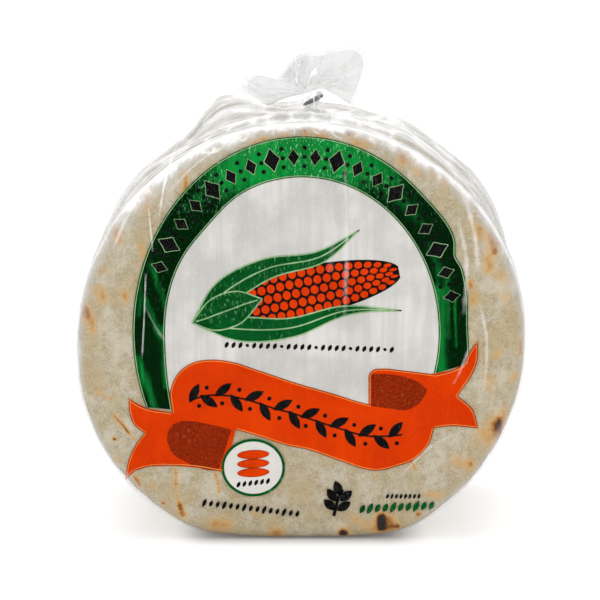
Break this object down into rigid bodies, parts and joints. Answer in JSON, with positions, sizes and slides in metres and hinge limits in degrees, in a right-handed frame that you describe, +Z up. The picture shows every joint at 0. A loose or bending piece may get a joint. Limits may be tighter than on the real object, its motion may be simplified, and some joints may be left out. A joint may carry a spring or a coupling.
{
  "type": "pack of arepa corn cakes",
  "caption": "Clear film bag of round flat corn cakes stacked face to face, standing on their rims, gathered above and closed with a metal clip, tail of film flaring out.",
  "frame": {"origin": "on the floor, under the middle of the pack's bounding box", "axes": "+Z up, the printed face towards -Y, +X to the right as seen from the printed face; the stack's axis runs along Y"},
  "size_m": [0.13, 0.1058, 0.1418],
  "materials": {
    "film": "clear film lying on cream corn cakes",
    "clip_metal": "dull drawn wire",
    "corn_cake": "toasted white corn dough",
    "green_ink": "printed film",
    "orange_ink": "printed film",
    "white_ink": "printed film",
    "black_ink": "printed film"
  },
  "bodies": {
    "root": {"bag": "film", "clip": "clip_metal"}
  },
  "joints": []
}
